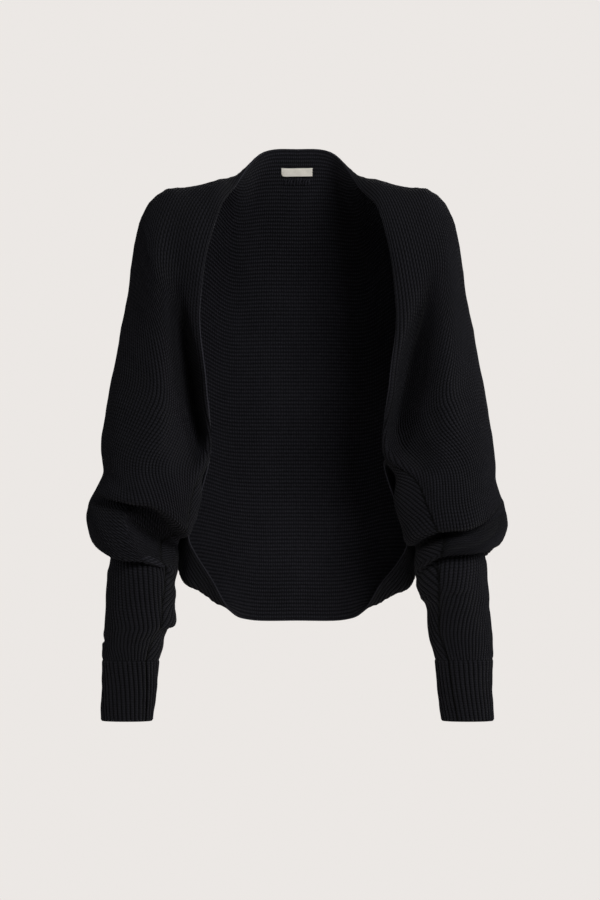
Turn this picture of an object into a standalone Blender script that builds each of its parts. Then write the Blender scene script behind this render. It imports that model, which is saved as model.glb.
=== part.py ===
"""Knitted shrug, hollow as it is worn: one wide panel knitted from cuff to cuff that hangs over both
shoulders, open all the way round from the neck down both fronts to the hem, with two balloon sleeves that
pile up in folds over the elbows and end in long ribbed cuffs. X is across, +Y is the back, +Z is up, and the
origin lies between the shoulder points, where the wearer carries the garment."""

import math

import bmesh
import bpy
import numpy as np

MM = 0.001

# Cloth, in millimetres
WALL = 2.6
SEAM_GAP = 0.3
WELTS = 36
WELT_RISE = 0.8

# Cuffs and label, in millimetres
CUFF_WALL = 2.6
CUFF_RIB_RISE = 1.1
CUFF_RIBS = 36
LABEL_WIDTH = 41.0
LABEL_SPAN = (-43.0, -31.0)
LABEL_WALL = 0.8
LABEL_GAP = 0.35
LABEL_ROWS = 2

# How finely the mesh follows the form
FINE_COLUMNS = 160
PANEL_BANDS = 15
PANEL_CROWDING = 1.25
UNDERARM_BANDS = 3
CUFF_BANDS = 3

# Sections of the panel from the centre of the back to the underarm. Each row runs from the neck or front edge,
# over the shoulder and down the back, to the hem edge. Its columns are the landmarks on the way, each at its
# share of the ribs, as (outward, back, up) in millimetres.
LANDMARKS = ("edge", "lip", "strip", "fore", "top", "upper", "middle", "lower", "skirt", "hem")
LANDMARK_AT = (0.0, 0.03, 0.08, 0.17, 0.28, 0.42, 0.60, 0.78, 0.91, 1.0)
BACK_SECTIONS = (
    ("centre back", (0, 50, 71), (0, 54, 53), (0, 62, 21), (0, 78, -36), (0, 93, -108), (0, 95, -200),
     (0, 86, -317), (0, 78, -435), (0, 78, -519), (0, 84, -570)),
    ("collar corner", (50, 40, 64), (54, 46, 50), (58, 59, 24), (63, 78, -30), (67, 94, -103), (70, 96, -196),
     (69, 85, -314), (65, 77, -432), (63, 77, -516), (64, 82, -569)),
    ("neck side", (85, -20, 15), (88, -10, 25), (93, 16, 28), (107, 64, 2), (118, 90, -62), (130, 97, -154),
     (134, 88, -276), (124, 76, -400), (106, 66, -536), (92, 54, -555)),
)
LEFT_FRONT = (
    ("shoulder", (114, -70, -30), (118, -62, -14), (126, -46, 3), (146, 4, 15), (164, 58, -16), (182, 88, -98),
     (190, 92, -220), (174, 78, -370), (136, 50, -529), (117, 24, -515)),
    ("shoulder point", (126, -85, -86), (133, -84, -70), (146, -74, -44), (170, -34, 4), (191, 22, 0),
     (203, 76, -84), (206, 92, -208), (180, 86, -356), (152, 42, -522), (134, 10, -494)),
    ("upper arm", (132, -92, -144), (142, -93, -132), (160, -91, -106), (186, -66, -54), (206, -8, -22),
     (211, 62, -80), (216, 92, -196), (187, 91, -350), (160, 44, -502), (147, -4, -471)),
    ("mid arm", (124, -92, -244), (130, -84, -243), (148, -56, -232), (194, -100, -188), (223, -44, -158),
     (234, 40, -166), (230, 88, -264), (203, 90, -372), (165, 44, -450), (135, -30, -417)),
    ("underarm", (118, -58, -349), (121, -67, -341), (139, -52, -326), (192, -104, -292), (236, -68, -266),
     (255, 16, -276), (248, 76, -326), (219, 91, -390), (163, 10, -392), (119, -54, -351)),
)
RIGHT_FRONT = (
    ("shoulder", (107, -70, -26), (111, -62, -10), (121, -46, 4), (146, 4, 15), (164, 58, -16), (182, 88, -98),
     (190, 92, -220), (174, 78, -370), (136, 48, -525), (119, 22, -508)),
    ("shoulder point", (121, -84, -76), (128, -82, -62), (142, -74, -40), (170, -34, 4), (191, 22, 0),
     (203, 76, -84), (206, 92, -208), (180, 86, -356), (152, 42, -517), (134, 8, -484)),
    ("upper arm", (129, -92, -140), (137, -88, -130), (152, -80, -108), (184, -76, -62), (206, -12, -22),
     (211, 62, -80), (216, 92, -196), (187, 91, -350), (159, 44, -498), (145, -4, -462)),
    ("mid arm", (121, -92, -250), (126, -82, -247), (139, -48, -238), (180, -100, -194), (222, -52, -160),
     (233, 38, -166), (229, 88, -264), (203, 90, -372), (165, 44, -450), (134, -30, -413)),
    ("underarm", (117, -58, -347), (120, -67, -339), (135, -52, -326), (180, -106, -294), (234, -72, -266),
     (255, 14, -276), (248, 76, -326), (219, 91, -390), (163, 10, -391), (118, -54, -349)),
)

# Sections of each sleeve from the underarm to the cuff seam. A row is a closed ring through the points that lie
# farthest in, forward, out and back on it, each as (outward, back, up) in millimetres. Then come where round
# the ring the seam is, in degrees from the outer side towards the front, and how flat the ring's inner back
# quarter is, where the side of the panel lies against it: 1 is round and 2 is straight. In a fold the rows
# step back up.
SLEEVE_COLUMNS = ("inner", "front", "outer", "back", "seam", "flatness")
LEFT_SLEEVE = (
    ("over elbow", (140, -64, -404), (200, -106, -368), (263, -5, -335), (228, 94, -398), 124, 1.8),
    ("elbow swell", (149, -58, -438), (208, -113, -412), (267, -7, -382), (232, 97, -436), 117, 1.6),
    ("elbow lip", (154, -52, -462), (214, -112, -443), (274, -6, -404), (234, 97, -458), 111, 1.5),
    ("crease roof", (160, -40, -465), (218, -86, -437), (277, 2, -410), (234, 96, -466), 111, 1.4),
    ("crease floor", (161, -36, -471), (219, -80, -445), (279, 4, -417), (234, 96, -472), 111, 1.4),
    ("roll crown", (160, -36, -478), (222, -93, -455), (281, 2, -426), (234, 96, -478), 112, 1.4),
    ("roll belly", (159, -36, -487), (222, -102, -463), (282, -4, -440), (234, 95, -486), 113, 1.4),
    ("roll lip", (160, -36, -496), (215, -99, -475), (269, -5, -464), (230, 90, -494), 113, 1.4),
    ("tuck roof", (161, -32, -503), (208, -87, -474), (254, -3, -459), (222, 85, -500), 113, 1.3),
    ("tuck floor", (162, -30, -509), (208, -79, -478), (249, -2, -467), (220, 81, -506), 113, 1.3),
    ("forearm head", (162, -30, -517), (208, -86, -494), (253, -5, -484), (218, 76, -512), 113, 1.3),
    ("forearm", (166, -26, -530), (210, -85, -520), (254, -10, -511), (216, 66, -528), 114, 1.2),
    ("wrist lip", (169, -22, -540), (212, -83, -537), (256, -12, -532), (214, 56, -542), 118, 1.1),
    ("wrist roof", (172, -18, -544), (213, -69, -533), (257, -12, -540), (213, 50, -550), 122, 1.0),
    ("wrist floor", (173, -16, -550), (214, -62, -541), (257, -12, -547), (213, 46, -557), 126, 1.0),
    ("wrist", (178, -20, -578), (219, -69, -579), (260, -20, -576), (219, 28, -582), 130, 0.92),
    ("cuff seam", (187, -32, -618), (224, -66, -618), (261, -32, -618), (224, 2, -618), 122, 0.92),
)
RIGHT_SLEEVE = (
    ("over elbow", (138, -64, -405), (197, -106, -366), (262, -5, -335), (228, 94, -400), 148, 1.8),
    ("elbow swell", (147, -58, -433), (202, -114, -394), (259, -8, -368), (228, 97, -434), 153, 1.6),
    ("elbow lip", (151, -52, -451), (210, -112, -409), (269, -6, -390), (232, 97, -452), 160, 1.5),
    ("crease roof", (159, -40, -455), (222, -88, -402), (272, 0, -396), (232, 96, -460), 156, 1.4),
    ("crease floor", (161, -37, -462), (222, -80, -410), (276, 2, -404), (232, 96, -466), 153, 1.4),
    ("roll crown", (161, -36, -470), (224, -93, -422), (280, 0, -414), (234, 96, -473), 150, 1.4),
    ("roll belly", (161, -36, -486), (222, -103, -450), (282, -4, -433), (234, 95, -483), 145, 1.4),
    ("roll lip", (162, -35, -499), (215, -99, -484), (268, -5, -464), (230, 90, -494), 140, 1.4),
    ("tuck roof", (165, -32, -508), (208, -86, -478), (254, -3, -459), (222, 85, -500), 138, 1.3),
    ("tuck floor", (166, -30, -516), (208, -79, -486), (249, -2, -467), (220, 81, -506), 136, 1.3),
    ("forearm head", (165, -29, -527), (207, -86, -503), (251, -6, -488), (218, 74, -513), 134, 1.3),
    ("forearm", (166, -26, -550), (211, -84, -540), (255, -12, -534), (214, 58, -542), 130, 1.2),
    ("wrist lip", (169, -20, -572), (213, -81, -583), (257, -18, -578), (213, 44, -576), 128, 1.1),
    ("wrist roof", (173, -17, -580), (216, -68, -578), (258, -16, -584), (214, 40, -583), 127, 1.0),
    ("wrist floor", (176, -17, -587), (217, -61, -586), (258, -16, -590), (215, 37, -589), 126, 1.0),
    ("wrist", (181, -22, -602), (221, -68, -602), (259, -22, -600), (221, 22, -602), 124, 0.92),
    ("cuff seam", (187, -31, -619), (223, -65, -619), (259.5, -31, -619), (223, 3, -619), 122, 0.92),
)
# Sections of each cuff, in the columns of a sleeve
LEFT_CUFF = (
    ("cuff top", (187, -32, -618), (224, -66, -618), (261, -32, -618), (224, 2, -618), 122, 0.92),
    ("cuff middle", (190.5, -32, -656), (225, -63, -656), (260, -32, -656), (225, 0, -656), 118, 0.92),
    ("cuff end", (196, -32, -701), (229, -60, -701), (262, -32, -701), (229, -5, -701), 112, 0.92),
)
RIGHT_CUFF = (
    ("cuff top", (187, -31, -619), (223, -65, -619), (259.5, -31, -619), (223, 3, -619), 122, 0.92),
    ("cuff middle", (190.5, -31, -656), (225, -62, -656), (260, -31, -656), (225, 0, -656), 130, 0.92),
    ("cuff end", (196, -32, -701), (228, -60, -701), (261, -32, -701), (228, -5, -701), 138, 0.92),
)
# Round which part of a ring each share of the ribs lies, in degrees; the first and last are at the seam
TURN_AT = (0.17, 0.42, 0.60, 0.78, 0.91)
TURN = (95, 0, -60, -104, -147)
ROUNDNESS = 0.92
# Over what share of the ribs the two edges are drawn together beyond the underarm
EDGE_JOIN = 0.045

CHARCOAL = (0.012, 0.012, 0.015, 1.0)
CREAM = (0.72, 0.69, 0.6, 1.0)


def through(points, knots, at):
    """The smooth curve through points at knots, read at each value of `at`."""
    points = np.asarray(points, float)
    knots = np.asarray(knots, float)
    step = np.diff(knots).reshape((-1,) + (1,) * (points.ndim - 1))
    slope = np.diff(points, axis=0) / step
    tangent = np.empty_like(points)
    tangent[0], tangent[-1] = slope[0], slope[-1]
    tangent[1:-1] = (slope[1:] * step[:-1] + slope[:-1] * step[1:]) / (step[:-1] + step[1:])
    i = np.clip(np.searchsorted(knots, at, side="right") - 1, 0, len(knots) - 2)
    wide = step[i]
    t = ((np.asarray(at) - knots[i]) / np.diff(knots)[i]).reshape(wide.shape)
    return (
        (2 * t**3 - 3 * t**2 + 1) * points[i]
        + (t**3 - 2 * t**2 + t) * wide * tangent[i]
        + (3 * t**2 - 2 * t**3) * points[i + 1]
        + (t**3 - t**2) * wide * tangent[i + 1]
    )


def body_curve(row):
    """A section of the panel as FINE_COLUMNS + 1 points from the neck or front edge to the hem edge."""
    return through(row[1:], LANDMARK_AT, np.linspace(0, 1, FINE_COLUMNS + 1))


def sleeve_ring(row):
    """A closed section of a sleeve or cuff, from the seam over the front, outer side and back to the seam."""
    inner, front, outer, back, seam, flatness = (np.array(value, float) for value in row[1:])
    share = np.linspace(0, 1, FINE_COLUMNS + 1)
    turn = np.radians(np.interp(share, (0, *TURN_AT, 1), (seam, *TURN, seam - 360)))
    out, fore = np.cos(turn)[:, None], np.sin(turn)[:, None]
    side = np.where(out > 0, outer, inner)
    end = np.where(fore > 0, front, back)
    power = np.where((out < 0) & (fore < 0), flatness, ROUNDNESS)
    ring = side * out**2 + end * fore**2
    ring[:, 0] = (end + (side - end) * abs(out) ** power)[:, 0]
    ring[:, 1] = (side + (end - side) * abs(fore) ** power)[:, 1]
    return ring


def knots_along(sections):
    """A running length for a list of sections: the mean distance from each to the next."""
    gaps = [np.linalg.norm(b - a, axis=1).mean() for a, b in zip(sections, sections[1:])]
    return np.concatenate([[0], np.cumsum(gaps)])


def mirrored(points):
    return points * np.array([-1, 1, 1])


class Side:
    """One half of the garment as a smooth surface, from the centre of the back to the cuff seam."""

    def __init__(self, front_rows, sleeve_rows):
        body = [body_curve(row) for row in BACK_SECTIONS + front_rows]
        rings = [sleeve_ring(row) for row in sleeve_rows]
        beyond = [mirrored(body[2]), mirrored(body[1])]
        self.sections = np.array(beyond + body + rings)
        knots = knots_along(self.sections)
        self.knots = knots - knots[2]
        self.underarm = self.knots[1 + len(body)]
        self.end = self.knots[-1]
        share = np.linspace(0, 1, PANEL_BANDS + 1)
        self.panel_at = (self.underarm - SEAM_GAP / 2) * (1 - (1 - share) ** PANEL_CROWDING)
        rows = self.knots[1 + len(body):]
        self.sleeve_at = np.append(np.linspace(rows[0], rows[1], UNDERARM_BANDS + 1), rows[2:])
        self.sleeve_at[0] += SEAM_GAP / 2
        self.sleeve_at[-1] -= SEAM_GAP / 2

    def points(self, at):
        """Points at each running length, their two edges drawn together beyond the underarm."""
        here = through(self.sections, self.knots, at)
        apart = np.where(np.asarray(at) > self.underarm, 0.5, 0.0)[:, None] * (here[:, -1] - here[:, 0])
        share = np.linspace(0, 1, FINE_COLUMNS + 1)
        near = np.maximum(0, 1 - share / EDGE_JOIN) - np.maximum(0, 1 - (1 - share) / EDGE_JOIN)
        return here + apart[:, None, :] * near[None, :, None]

    def walls(self, at, before, after):
        """Points and outward normals at each running length of `at`, as arrays of (length, column, axis). The
        lengths before the first and after the last are given too, so that both sides of a seam face alike."""
        here = self.points(at)
        ahead = self.points(np.append(at[1:], after)) - here
        behind = here - self.points(np.append(before, at[:-1]))
        steps = [step / np.maximum(np.linalg.norm(step, axis=2, keepdims=True), 1e-6) for step in (ahead, behind)]
        along = sum(steps)
        across = np.gradient(here, axis=1)
        closed = np.asarray(at) > self.underarm - 1
        round_seam = (here[:, 1] - here[:, -2]) / 2
        across[closed, 0] = across[closed, -1] = round_seam[closed]
        along[closed, 0] = along[closed, -1] = (along[closed, 0] + along[closed, -1]) / 2
        normal = np.cross(along, across)
        return here, normal / np.linalg.norm(normal, axis=2, keepdims=True)


def spread(section, columns):
    """A fine section's points moved to evenly shared columns."""
    share = np.linspace(0, 1, FINE_COLUMNS + 1)
    at = np.linspace(0, 1, columns + 1)
    return np.stack([np.interp(at, share, section[:, i]) for i in range(3)], axis=1)


def wall_mesh(name, outer, inner, closed, material):
    """A closed wall between an outer grid of points and an inner one that has every second column. A closed
    grid is a tube whose first and last columns are one seam."""
    mesh = bpy.data.meshes.new(name)
    body = bmesh.new()
    out = [[body.verts.new(p * MM) for p in row] for row in outer]
    inn = [[body.verts.new(p * MM) for p in row] for row in inner]
    rows, wide, half = len(out), len(out[0]), len(inn[0])

    def face(*corners):
        body.faces.new(corners)

    for a, b in zip(range(rows - 1), range(1, rows)):
        for j in range(wide - 1):
            face(out[a][j], out[b][j], out[b][j + 1], out[a][j + 1])
        for j in range(half - 1):
            face(inn[a][j], inn[a][j + 1], inn[b][j + 1], inn[b][j])
        if not closed:
            face(out[a][0], inn[a][0], inn[b][0], out[b][0])
            face(out[a][-1], out[b][-1], inn[b][-1], inn[a][-1])
    for row, turned in ((0, False), (rows - 1, True)):
        for j in range(half - 1):
            rim = [out[row][2 * j], out[row][2 * j + 1], out[row][2 * j + 2], inn[row][j + 1], inn[row][j]]
            face(*(rim[::-1] if turned else rim))
    bmesh.ops.remove_doubles(body, verts=body.verts, dist=0.02 * MM)
    bmesh.ops.dissolve_degenerate(body, edges=body.edges, dist=0.01 * MM)
    bmesh.ops.triangulate(body, faces=body.faces)
    body.to_mesh(mesh)
    body.free()
    mesh.materials.append(material)
    mesh.shade_smooth()
    mesh.set_sharp_from_angle(angle=math.radians(60))
    made = bpy.data.objects.new(name, mesh)
    return made


def cloth(name, colour, roughness):
    made = bpy.data.materials.new(name)
    made.use_nodes = True
    shader = made.node_tree.nodes["Principled BSDF"]
    shader.inputs["Base Color"].default_value = colour
    shader.inputs["Roughness"].default_value = roughness
    return made


def ribbed_wall(side, at, before, after):
    """The outer and inner grids of a stretch of one side of the garment, with its welts raised outside. Where
    the stretch ends at the cuff seam its rim lies level."""
    here, normal = side.walls(at, before, after)
    if at[-1] > side.end - 1:
        normal[-1, :, 2] = 0
    columns = 2 * WELTS
    rise = WALL / 2 + WELT_RISE * (np.arange(columns + 1) % 2)
    outer, inner = [], []
    for points, normals in zip(here, normal):
        middle = spread(points, columns)
        facing = spread(normals, columns)
        facing /= np.linalg.norm(facing, axis=1, keepdims=True)
        outer.append(middle + facing * rise[:, None])
        inner.append((middle - facing * WALL / 2)[::2])
    return np.array(outer), np.array(inner)


def panel_half(side):
    return ribbed_wall(side, side.panel_at, -side.panel_at[1], side.sleeve_at[1])


def panel(left, right, material):
    """The panel's back and fronts in one wall, from underarm to underarm."""
    half_outer, half_inner = {}, {}
    for name, side in (("left", left), ("right", right)):
        half_outer[name], half_inner[name] = panel_half(side)
    outer = np.concatenate([mirrored(half_outer["right"][:0:-1]), half_outer["left"]])
    inner = np.concatenate([mirrored(half_inner["right"][:0:-1]), half_inner["left"]])
    return wall_mesh("panel", outer, inner, False, material)


def sleeve(name, side, mirror, material):
    outer, inner = ribbed_wall(side, side.sleeve_at, side.panel_at[-2], side.end)
    if mirror:
        outer, inner = mirrored(outer)[:, ::-1], mirrored(inner)[:, ::-1]
    return wall_mesh(name, outer, inner, True, material)


def cuff(name, rows, mirror, material):
    """A ribbed tube, set off from the sleeve by the seam gap."""
    rings = np.array([sleeve_ring(row) for row in rows])
    knots = knots_along(rings)
    at = np.linspace(SEAM_GAP, knots[-1], CUFF_BANDS + 1)
    here = through(rings, knots, at)
    across = np.gradient(here, axis=1)
    across[:, 0] = across[:, -1] = (here[:, 1] - here[:, -2]) / 2
    normal = np.cross(np.gradient(here, axis=0), across) * np.array([1, 1, 0])
    normal /= np.linalg.norm(normal, axis=2, keepdims=True)
    columns = 2 * CUFF_RIBS
    rise = CUFF_WALL / 2 + CUFF_RIB_RISE * (np.arange(columns + 1) % 2)
    outer, inner = [], []
    for points, normals in zip(here, normal):
        middle, facing = spread(points, columns), spread(normals, columns)
        outer.append(middle + facing * rise[:, None])
        inner.append((middle - facing * CUFF_WALL / 2)[::2])
    outer, inner = np.array(outer), np.array(inner)
    if mirror:
        outer, inner = mirrored(outer)[:, ::-1], mirrored(inner)[:, ::-1]
    return wall_mesh(name, outer, inner, True, material)


def label(side, material):
    """A woven label inside the back of the neck, made from the panel's own inner points, moved in."""
    rows = []
    for wall in panel_half(side)[1][:2]:
        wall = wall[: WELTS // 4]
        places = np.linspace(*LABEL_SPAN, LABEL_ROWS + 1)
        rows.append(np.stack([np.interp(places, -wall[:, 2], wall[:, i]) for i in range(3)], axis=1))
    end = rows[0] + (rows[1] - rows[0]) * (LABEL_WIDTH / 2) / side.panel_at[1]
    inward = np.cross(end[-1] - rows[0][-1], rows[0][-1] - rows[0][0])
    inward = -inward / np.linalg.norm(inward) * np.sign(inward[1])
    under = np.array([mirrored(end), rows[0], end])
    away = np.array([mirrored(inward), inward * (0, 1, 1), inward])[:, None]
    top = under + away * (LABEL_GAP + LABEL_WALL)
    under = under + away * LABEL_GAP
    mesh = bpy.data.meshes.new("neck_label")
    body = bmesh.new()
    low = [[body.verts.new(p * MM) for p in row] for row in under]
    high = [[body.verts.new(p * MM) for p in row] for row in top]
    for a in range(len(low) - 1):
        for j in range(LABEL_ROWS):
            body.faces.new((low[a][j], low[a][j + 1], low[a + 1][j + 1], low[a + 1][j]))
            body.faces.new((high[a][j], high[a + 1][j], high[a + 1][j + 1], high[a][j + 1]))
        body.faces.new((low[a][0], low[a + 1][0], high[a + 1][0], high[a][0]))
        body.faces.new((low[a][-1], high[a][-1], high[a + 1][-1], low[a + 1][-1]))
    for j in range(LABEL_ROWS):
        body.faces.new((low[0][j], high[0][j], high[0][j + 1], low[0][j + 1]))
        body.faces.new((low[-1][j], low[-1][j + 1], high[-1][j + 1], high[-1][j]))
    bmesh.ops.recalc_face_normals(body, faces=body.faces)
    bmesh.ops.triangulate(body, faces=body.faces)
    body.to_mesh(mesh)
    body.free()
    mesh.materials.append(material)
    return bpy.data.objects.new("neck_label", mesh)


def collection_of(objects, name):
    made = bpy.data.collections.new(name)
    bpy.context.scene.collection.children.link(made)
    for obj in objects:
        made.objects.link(obj)


def main():
    for obj in list(bpy.data.objects):
        bpy.data.objects.remove(obj)
    knit = cloth("black rib knit", CHARCOAL, 0.9)
    left = Side(LEFT_FRONT, LEFT_SLEEVE)
    right = Side(RIGHT_FRONT, RIGHT_SLEEVE)
    pieces = [
        panel(left, right, knit),
        sleeve("sleeve_left", left, False, knit),
        sleeve("sleeve_right", right, True, knit),
        cuff("cuff_left", LEFT_CUFF, False, knit),
        cuff("cuff_right", RIGHT_CUFF, True, knit),
        label(left, cloth("cream woven label", CREAM, 0.8)),
    ]
    collection_of(pieces, "knitted shrug")


if __name__ == "__main__":
    main()
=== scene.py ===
"""Knitted shrug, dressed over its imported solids.

One wide half cardigan panel hangs over both shoulders and runs on into two balloon sleeves. The knit of the
panel and of each sleeve is drawn with its real ribs, through sections that follow the solids apart from the
folds, and they meet at the underarm rows. X is across, +Y is the back, +Z is up. Sizes in the tables are in
millimetres."""

import math

import bmesh
import bpy
import numpy as np
from mathutils import Euler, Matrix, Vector


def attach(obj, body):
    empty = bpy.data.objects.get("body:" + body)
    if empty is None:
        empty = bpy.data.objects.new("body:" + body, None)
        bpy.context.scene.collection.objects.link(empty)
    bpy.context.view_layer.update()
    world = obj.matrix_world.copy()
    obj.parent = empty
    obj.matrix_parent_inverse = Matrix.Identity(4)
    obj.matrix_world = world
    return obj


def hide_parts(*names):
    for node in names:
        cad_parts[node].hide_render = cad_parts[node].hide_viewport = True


bl_info = {
    "name": "Knitted Shrug",
    "version": (1, 0, 0),
    "blender": (4, 5, 0),
    "location": "View3D > Sidebar > Shrug",
    "description": "Builds a half cardigan knit shrug with balloon sleeves, ribbed cuffs and a neck label",
    "category": "Add Mesh",
}

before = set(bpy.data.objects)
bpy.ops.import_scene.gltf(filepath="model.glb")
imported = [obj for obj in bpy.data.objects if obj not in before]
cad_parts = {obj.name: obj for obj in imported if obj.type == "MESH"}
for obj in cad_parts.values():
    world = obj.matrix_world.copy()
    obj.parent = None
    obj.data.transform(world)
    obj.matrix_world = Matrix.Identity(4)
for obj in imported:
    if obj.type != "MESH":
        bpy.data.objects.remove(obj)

MM = 0.001

# Landmarks from the neck or front edge, over the shoulder and down the back, to the hem edge, each at its
# share of the way. The rows are sections from the centre of the back to the underarm, as (outward, back, up).
LANDMARK_AT = (0.0, 0.03, 0.08, 0.17, 0.28, 0.42, 0.60, 0.78, 0.91, 1.0)
BACK_SECTIONS = (
    ("centre back", (0, 50, 71), (0, 54, 53), (0, 62, 21), (0, 78, -36), (0, 93, -108), (0, 95, -200),
     (0, 86, -317), (0, 78, -435), (0, 78, -519), (0, 84, -570)),
    ("collar corner", (50, 40, 64), (54, 46, 50), (58, 59, 24), (63, 78, -30), (67, 94, -103), (70, 96, -196),
     (69, 85, -314), (65, 77, -432), (63, 77, -516), (64, 82, -569)),
    ("neck side", (85, -20, 15), (88, -10, 25), (93, 16, 28), (107, 64, 2), (118, 90, -62), (130, 97, -154),
     (134, 88, -276), (124, 76, -400), (106, 66, -536), (92, 54, -555)),
)
LEFT_FRONT = (
    ("shoulder", (114, -70, -30), (118, -62, -14), (126, -46, 3), (146, 4, 15), (164, 58, -16),
     (182, 88, -98), (190, 92, -220), (174, 78, -370), (136, 50, -529), (117, 24, -515)),
    ("shoulder point", (126, -85, -86), (133, -84, -70), (146, -74, -44), (170, -34, 4), (191, 22, 0),
     (203, 76, -84), (206, 92, -208), (180, 86, -356), (152, 42, -522), (134, 10, -494)),
    ("upper arm", (132, -92, -144), (142, -93, -132), (160, -88, -106), (186, -66, -54), (206, -8, -22),
     (211, 62, -80), (216, 92, -196), (187, 91, -350), (160, 44, -502), (147, -4, -471)),
    ("mid arm", (124, -92, -244), (130, -86, -243), (146, -44, -232), (194, -100, -188), (223, -44, -158),
     (234, 40, -166), (230, 88, -264), (203, 90, -372), (165, 44, -450), (135, -30, -417)),
    ("underarm", (118, -58, -349), (121, -67, -341), (137, -42, -326), (192, -104, -292), (236, -68, -266),
     (255, 16, -276), (248, 76, -326), (219, 91, -390), (163, 10, -392), (119, -54, -351)),
)
RIGHT_FRONT = (
    ("shoulder", (107, -70, -26), (111, -62, -10), (121, -46, 4), (146, 4, 15), (164, 58, -16),
     (182, 88, -98), (190, 92, -220), (174, 78, -370), (136, 48, -525), (119, 22, -508)),
    ("shoulder point", (121, -84, -76), (128, -82, -62), (142, -74, -40), (170, -34, 4), (191, 22, 0),
     (203, 76, -84), (206, 92, -208), (180, 86, -356), (152, 42, -517), (134, 8, -484)),
    ("upper arm", (129, -92, -140), (137, -88, -130), (152, -80, -108), (184, -76, -62), (206, -12, -22),
     (211, 62, -80), (216, 92, -196), (187, 91, -350), (159, 44, -498), (145, -4, -462)),
    ("mid arm", (121, -92, -250), (126, -84, -247), (139, -38, -238), (180, -100, -194), (222, -52, -160),
     (233, 38, -166), (229, 88, -264), (203, 90, -372), (165, 44, -450), (134, -30, -413)),
    ("underarm", (117, -58, -347), (120, -67, -339), (134, -42, -326), (180, -106, -294), (234, -72, -266),
     (255, 14, -276), (248, 76, -326), (219, 91, -390), (163, 10, -391), (118, -54, -349)),
)

# Sections of each sleeve and cuff. A row is a closed ring through the points that lie farthest in, forward,
# out and back on it. Then come where round the ring the seam is, in degrees from the outer side towards the
# front, and how flat the ring's inner back quarter is, where the side of the panel lies against it.
LEFT_SLEEVE = (
    ("over elbow", (131, -64, -404), (200, -106, -368), (263, -5, -335), (228, 94, -398), 124, 1.8),
    ("elbow swell", (141, -58, -438), (208, -113, -412), (267, -7, -382), (232, 97, -436), 117, 1.6),
    ("elbow lip", (149, -52, -462), (214, -112, -443), (274, -6, -404), (234, 97, -458), 111, 1.5),
    ("crease roof", (160, -40, -465), (218, -86, -437), (277, 2, -410), (234, 96, -466), 111, 1.4),
    ("crease floor", (161, -36, -471), (219, -80, -445), (279, 4, -417), (234, 96, -472), 111, 1.4),
    ("roll crown", (160, -36, -478), (222, -93, -455), (281, 2, -426), (234, 96, -478), 112, 1.4),
    ("roll belly", (159, -36, -487), (222, -102, -463), (282, -4, -440), (234, 95, -486), 113, 1.4),
    ("roll lip", (160, -36, -496), (215, -99, -475), (269, -5, -464), (230, 90, -494), 113, 1.4),
    ("tuck roof", (161, -32, -503), (208, -87, -474), (254, -3, -459), (222, 85, -500), 113, 1.3),
    ("tuck floor", (162, -30, -509), (208, -79, -478), (249, -2, -467), (220, 81, -506), 113, 1.3),
    ("forearm head", (162, -30, -517), (208, -86, -494), (253, -5, -484), (218, 76, -512), 113, 1.3),
    ("forearm", (166, -26, -530), (210, -85, -520), (254, -10, -511), (216, 66, -528), 114, 1.2),
    ("wrist lip", (168, -24, -536), (212, -80, -533), (256, -12, -530), (214, 56, -542), 118, 1.1),
    ("wrist roof", (174, -16, -542), (213, -77, -541), (257, -13, -539), (213, 50, -550), 122, 1.0),
    ("wrist floor", (177, -14, -550), (214, -74, -551), (257, -14, -549), (213, 46, -557), 126, 1.0),
    ("wrist", (178, -20, -578), (219, -69, -579), (260, -20, -576), (219, 28, -582), 130, 0.92),
    ("cuff seam", (187, -32, -618), (224, -66, -618), (261, -32, -618), (224, 2, -618), 122, 0.92),
)
RIGHT_SLEEVE = (
    ("over elbow", (130, -64, -405), (197, -106, -366), (262, -5, -335), (228, 94, -400), 148, 1.8),
    ("elbow swell", (139, -58, -433), (202, -114, -394), (259, -8, -368), (228, 97, -434), 153, 1.6),
    ("elbow lip", (147, -52, -451), (210, -112, -409), (269, -6, -390), (232, 97, -452), 160, 1.5),
    ("crease roof", (159, -40, -455), (222, -88, -402), (272, 0, -396), (232, 96, -460), 156, 1.4),
    ("crease floor", (161, -37, -462), (222, -80, -410), (276, 2, -404), (232, 96, -466), 153, 1.4),
    ("hollow crown", (161, -36, -470), (228, -93, -422), (280, 0, -414), (234, 96, -473), 150, 1.4),
    ("hollow belly", (161, -36, -486), (227, -103, -450), (282, -4, -433), (234, 95, -483), 145, 1.4),
    ("hollow lip", (162, -35, -499), (218, -99, -484), (268, -5, -464), (230, 90, -494), 140, 1.4),
    ("tuck roof", (165, -32, -508), (208, -86, -478), (254, -3, -459), (222, 85, -500), 138, 1.3),
    ("tuck floor", (166, -30, -516), (208, -79, -486), (249, -2, -467), (220, 81, -506), 136, 1.3),
    ("forearm head", (165, -29, -527), (207, -86, -503), (251, -6, -488), (218, 74, -513), 134, 1.3),
    ("forearm", (166, -26, -550), (211, -84, -540), (255, -12, -534), (214, 58, -542), 130, 1.2),
    ("wrist lip", (167, -22, -572), (213, -79, -577), (257, -18, -576), (213, 44, -576), 128, 1.1),
    ("wrist roof", (175, -14, -578), (215, -76, -585), (258, -17, -584), (214, 40, -583), 127, 1.0),
    ("wrist floor", (180, -14, -585), (216, -73, -593), (258, -17, -592), (215, 37, -589), 126, 1.0),
    ("wrist", (182, -22, -602), (221, -69, -603), (259, -22, -600), (221, 22, -602), 124, 0.92),
    ("cuff seam", (187, -31, -619), (223, -65, -619), (259.5, -31, -619), (223, 3, -619), 122, 0.92),
)
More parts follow.
